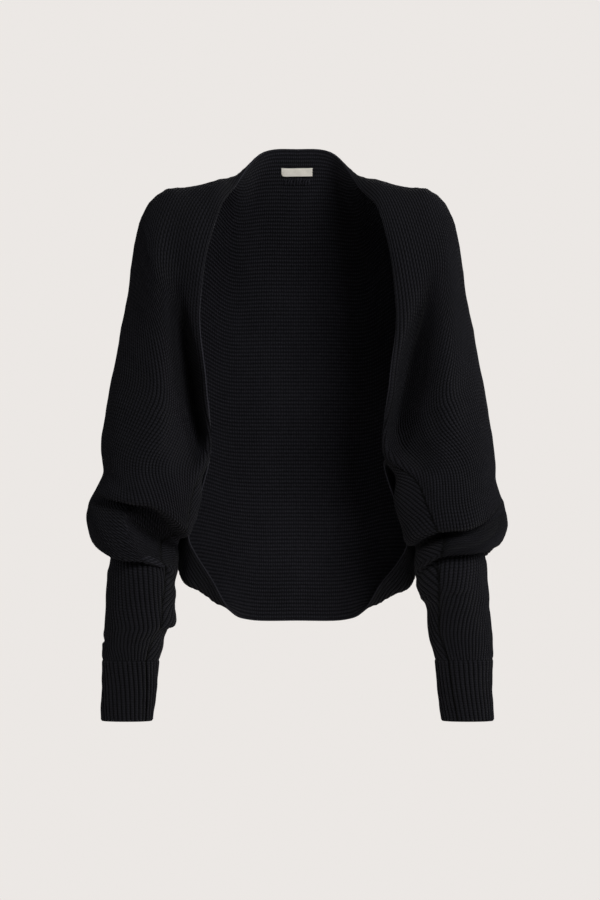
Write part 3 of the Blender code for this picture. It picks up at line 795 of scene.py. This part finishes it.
def yarn_thread(name, knit):
    """The same yarn laid in long strokes, with its twist."""
    made, shader, wire = new_finish(name)
    place = wire.node("ShaderNodeTexCoord", output="Object")
    strands = wire.noise(place, 900.0, 3.0)
    light = tuple(c * STROKE_LIGHT for c in knit.colour)
    strands.between(0.2, 0.7).blend((*knit.shade, 1), (*light, 1)).into(shader.inputs["Base Color"])
    (0.8 + strands * 0.15).into(shader.inputs["Roughness"])
    bump = wire.node("ShaderNodeBump", {}, {"Strength": 0.6, "Distance": 0.3 * MM, "Height": strands})
    bump.into(shader.inputs["Normal"])
    shader.inputs["Specular IOR Level"].default_value = 0.08
    return made


def woven_tape(name, colour):
    """Cream tape: fine warp and weft, with darker patches of wear."""
    made, shader, wire = new_finish(name)
    place = wire.node("ShaderNodeTexCoord", output="Object")
    across = wire.node("ShaderNodeSeparateXYZ", {}, {0: place})
    up = across.other(2)
    warp = wire.maths("SINE", across * (2 * math.pi / (0.55 * MM))) * 0.5 + 0.5
    weft = wire.maths("SINE", up * (2 * math.pi / (0.7 * MM))) * 0.5 + 0.5
    weave = warp * weft
    wear = wire.noise(place, 260.0, 3.0)
    dark = tuple(c * 0.84 for c in colour)
    bright = (weave * 0.5 + wear * 0.5 + 0.1).between(0.1, 0.75)
    bright.blend((*dark, 1), (*colour, 1)).into(shader.inputs["Base Color"])
    (0.75 + weave * 0.15).into(shader.inputs["Roughness"])
    relief = weave * 0.6 + wear
    bump = wire.node("ShaderNodeBump", {}, {"Strength": 0.5, "Distance": 0.25 * MM, "Height": relief})
    bump.into(shader.inputs["Normal"])
    shader.inputs["Specular IOR Level"].default_value = 0.25
    return made


def pale_floor(colour):
    """A floor in the backdrop's colour, with faint patches."""
    made, shader, wire = new_finish("pale floor")
    place = wire.node("ShaderNodeTexCoord", output="Object")
    pale = tuple(c * 0.97 for c in colour)
    wire.noise(place, 3.0).blend((*pale, 1), (*colour, 1)).into(shader.inputs["Base Color"])
    shader.inputs["Roughness"].default_value = 0.9
    return made


def studio_world(stage):
    """A plain pale surround that lights the garment more dimly than it looks."""
    world = bpy.data.worlds.new("studio")
    world.use_nodes = True
    wire = Wire(world.node_tree)
    seen = world.node_tree.nodes["Background"]
    seen.inputs["Color"].default_value = (*stage.backdrop, 1)
    light = wire.node("ShaderNodeBackground", {}, {"Color": (*stage.backdrop, 1), "Strength": stage.ambient})
    camera = wire.node("ShaderNodeLightPath", output="Is Camera Ray")
    plain = Wire(world.node_tree, seen.outputs[0])
    both = wire.node("ShaderNodeMixShader", {}, {0: camera, 1: light, 2: plain})
    both.into(world.node_tree.nodes["World Output"].inputs["Surface"])
    return world


def shared_finish(name, make):
    """The material of this name, made once."""
    return bpy.data.materials.get(name) or make(name)


def knit_finish(knit):
    """The material that the panel, the sleeves and the cuffs share."""
    return shared_finish("black half cardigan knit", lambda name: yarn_knit(name, knit))


def cloth_facts(piece, node):
    """Hangs a piece of cloth on the root body and hides the imported solid that it stands for."""
    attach(piece, "root")
    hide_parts(node)


def neck_inside(knit):
    """The inside of the knit round the back of the neck, as a function of x and z that gives its depth."""
    side = SIDES["left"]
    at = np.linspace(0, 40, 9)
    ribs = np.linspace(0, 36, 37)
    place, facing, _ = side.surface(at, ribs)
    inner = place - facing * ((knit.wall / 2 + knit.purl_rise * 0.8) / MM)

    def depth(x, z):
        xs = [np.interp(-z, -row[:, 2], row[:, 0]) for row in inner]
        ys = [np.interp(-z, -row[:, 2], row[:, 1]) for row in inner]
        return float(np.interp(abs(x), xs, ys))

    return depth


def neck_tape(tape, knit, finish):
    """The label's tape, tacked at both ends so that its middle hangs a little lower."""
    depth = neck_inside(knit)
    bpy.ops.mesh.primitive_grid_add(x_subdivisions=28, y_subdivisions=10, size=1)
    made = bpy.context.object
    made.name = made.data.name = "neck_tape"
    wide, tall = tape.width / MM, tape.height / MM
    for vertex in made.data.vertices:
        u, v = vertex.co.x * 2, vertex.co.y * 2
        # One lower corner is turned up a little
        corner = max(0.0, -u - 0.9) * max(0.0, -v - 0.55) * 20
        x = u * wide / 2 + corner * 1.1 - 0.2
        z = TAPE_Z + v * tall / 2 + 0.8 * u * u - 0.4 + corner * 1.3 + 0.25 * math.sin(3 * u + 1)
        off = 0.25 + 0.55 * (1 - u * u) * (0.6 - 0.4 * v) + 0.2 * math.sin(7 * u + 2 * v)
        vertex.co = Vector((x, depth(x, z) - off, z)) * MM
    solid = made.modifiers.new("thickness", "SOLIDIFY")
    solid.thickness = tape.thickness
    solid.offset = 1.0
    bevel = made.modifiers.new("soft edge", "BEVEL")
    bevel.width = 0.18 * MM
    bevel.segments = 2
    for name in ("thickness", "soft edge"):
        bpy.ops.object.modifier_apply(modifier=name)
    bpy.ops.object.shade_smooth_by_angle(angle=math.radians(50))
    made.data.materials.append(finish)
    return made


def stroke(x, z, y, lean, long, thick):
    """One stroke of yarn, as a slightly bowed spindle lying on the knit."""
    bpy.ops.mesh.primitive_uv_sphere_add(segments=10, ring_count=10, radius=1)
    made = bpy.context.object
    turn = Euler((0, math.radians(lean), 0)).to_matrix()
    for vertex in made.data.vertices:
        p = vertex.co.copy()
        fat = (1 - abs(p.z) ** 6) ** 0.25 if abs(p.z) < 1 else 0
        flat = Vector((p.x, p.y)).normalized() * fat if p.xy.length > 1e-6 else Vector((0, 0))
        bow = 0.5 * thick * p.z * p.z
        shaped = Vector((flat.x * thick / 2, flat.y * thick / 2 + bow, p.z * long / 2))
        vertex.co = (turn @ shaped + Vector((x, y, z))) * MM
    bpy.ops.object.shade_smooth()
    return made


def joined(strokes, name, finish):
    """Strokes made one piece."""
    bpy.ops.object.select_all(action="DESELECT")
    for piece in strokes:
        piece.select_set(True)
    bpy.context.view_layer.objects.active = strokes[0]
    bpy.ops.object.join()
    made = bpy.context.object
    made.name = made.data.name = name
    made.data.materials.append(finish)
    bpy.ops.object.select_all(action="DESELECT")
    return made


class SHRUG_OT_panel(bpy.types.Operator):
    """Knits the wide panel that hangs over the shoulders"""
    bl_idname = "shrug.panel"
    bl_label = "Knit panel"

    def execute(self, context):
        knit = context.scene.shrug_knit
        made = knit_panel(knit, knit_finish(knit))
        cloth_facts(made, "panel")
        return {"FINISHED"}


class SHRUG_OT_sleeves(bpy.types.Operator):
    """Knits the two balloon sleeves"""
    bl_idname = "shrug.sleeves"
    bl_label = "Balloon sleeves"

    def execute(self, context):
        knit = context.scene.shrug_knit
        for name in SIDES:
            made = knit_sleeve(name, knit, knit_finish(knit))
            cloth_facts(made, "sleeve_" + name)
        return {"FINISHED"}


class SHRUG_OT_cuffs(bpy.types.Operator):
    """Knits the two ribbed cuffs"""
    bl_idname = "shrug.cuffs"
    bl_label = "Ribbed cuffs"

    def execute(self, context):
        knit = context.scene.shrug_knit
        for name, rows in (("left", LEFT_CUFF), ("right", RIGHT_CUFF)):
            made = knit_cuff(name, rows, context.scene.shrug_cuffs, knit, knit_finish(knit))
            cloth_facts(made, "cuff_" + name)
        return {"FINISHED"}


class SHRUG_OT_label(bpy.types.Operator):
    """Sews the bare tape inside the back of the neck, with the yarn strokes below it"""
    bl_idname = "shrug.label"
    bl_label = "Neck label"

    def execute(self, context):
        knit, tape = context.scene.shrug_knit, context.scene.shrug_label
        bpy.ops.object.select_all(action="DESELECT")
        made = neck_tape(tape, knit, woven_tape("cream woven tape", tape.colour))
        cloth_facts(made, "neck_label")
        depth = neck_inside(knit)
        thread = shared_finish("black yarn strokes", lambda name: yarn_thread(name, knit))
        tacks = []
        for x, lean in TACK_COLUMNS:
            for z in TACK_ROWS:
                y = depth(x, z) - 1.3
                tacks.append(stroke(x, z + 0.04 * abs(x), y, 90 + lean, TACK_LENGTH, TACK_WIDTH))
        tacks = joined(tacks, "label_tacks", woven_tape("cream tacking thread", tape.colour))
        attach(tacks, "root")
        darn = []
        for k in range(STROKES):
            x = FIRST_STROKE_X + STROKE_STEP * k + 0.5 * math.sin(k * 2.3)
            z = STROKE_Z + 0.5 * math.sin(k * 1.7)
            lean = 14 + 5 * math.sin(k * 1.3)
            long = STROKE_LENGTH + 1.0 * math.sin(k * 3.1)
            thick = STROKE_WIDTH + 0.3 * math.sin(k * 4.0)
            darn.append(stroke(x, z, depth(x, z) - 0.5, lean, long, thick))
        darn = joined(darn, "neck_yarn_strokes", thread)
        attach(darn, "root")
        return {"FINISHED"}


class SHRUG_OT_stage(bpy.types.Operator):
    """Sets the pale floor, the soft lights and the camera"""
    bl_idname = "shrug.stage"
    bl_label = "Stage"

    def execute(self, context):
        scene, stage = context.scene, context.scene.shrug_stage
        bpy.ops.object.select_all(action="DESELECT")
        bpy.ops.mesh.primitive_plane_add(size=2.4)
        floor = context.object
        floor.name = "floor"
        for vertex in floor.data.vertices:
            vertex.co.z = FLOOR_Z
        floor.data.materials.append(pale_floor(stage.backdrop))
        scene.world = studio_world(stage)
        scene.view_settings.view_transform = "Standard"
        middle = Vector(LIT_POINT)
        lights = (
            ("front_right", (1.9, -3.4, 1.5), 1.7, stage.front_right),
            ("front_left", (-2.1, -3.3, 1.2), 1.4, stage.front_left),
            ("right", (3.0, -0.8, 0.6), 1.2, stage.right),
            ("left", (-3.0, -0.8, 0.6), 1.2, stage.left),
            ("top", (0.2, -0.7, 2.6), 1.4, stage.top),
            ("back", (0.3, 3.2, 0.7), 1.8, stage.back),
        )
        for name, place, size, power in lights:
            light = bpy.data.lights.new(name, "AREA")
            light.size = size
            light.energy = power
            made = bpy.data.objects.new(name, light)
            made.location = place
            made.rotation_euler = (middle - made.location).to_track_quat("-Z", "Y").to_euler()
            made.visible_camera = False
            scene.collection.objects.link(made)
        camera = bpy.data.cameras.new("camera")
        camera.sensor_fit = "VERTICAL"
        camera.sensor_height = 24
        camera.lens = 118.5
        eye = bpy.data.objects.new("camera", camera)
        eye.location = EYE
        eye.rotation_euler = (math.pi / 2, 0, 0)
        scene.collection.objects.link(eye)
        scene.camera = eye
        return {"FINISHED"}


class SHRUG_PT_pieces(bpy.types.Panel):
    """Lists the garment's pieces"""
    bl_label = "Knitted Shrug"
    bl_idname = "SHRUG_PT_pieces"
    bl_space_type = "VIEW_3D"
    bl_region_type = "UI"
    bl_category = "Shrug"

    def draw(self, context):
        for operator in OPERATORS:
            self.layout.operator(operator.bl_idname)
        for name, group in GROUPS.items():
            box = self.layout.box()
            for value in group.__annotations__:
                box.prop(getattr(context.scene, name), value)


OPERATORS = (SHRUG_OT_stage, SHRUG_OT_panel, SHRUG_OT_sleeves, SHRUG_OT_cuffs, SHRUG_OT_label)
GROUPS = {
    "shrug_knit": ShrugKnit, "shrug_cuffs": ShrugCuffs, "shrug_label": ShrugLabel, "shrug_stage": ShrugStage,
}
CLASSES = (*GROUPS.values(), *OPERATORS, SHRUG_PT_pieces)


def register():
    for made in CLASSES:
        bpy.utils.register_class(made)
    for name, group in GROUPS.items():
        setattr(bpy.types.Scene, name, bpy.props.PointerProperty(type=group))


def unregister():
    for name in GROUPS:
        delattr(bpy.types.Scene, name)
    for made in reversed(CLASSES):
        bpy.utils.unregister_class(made)


def main():
    register()
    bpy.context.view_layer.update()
    bpy.ops.shrug.stage()
    bpy.ops.shrug.panel()
    bpy.ops.shrug.sleeves()
    bpy.ops.shrug.cuffs()
    bpy.ops.shrug.label()


if __name__ == "__main__":
    main()
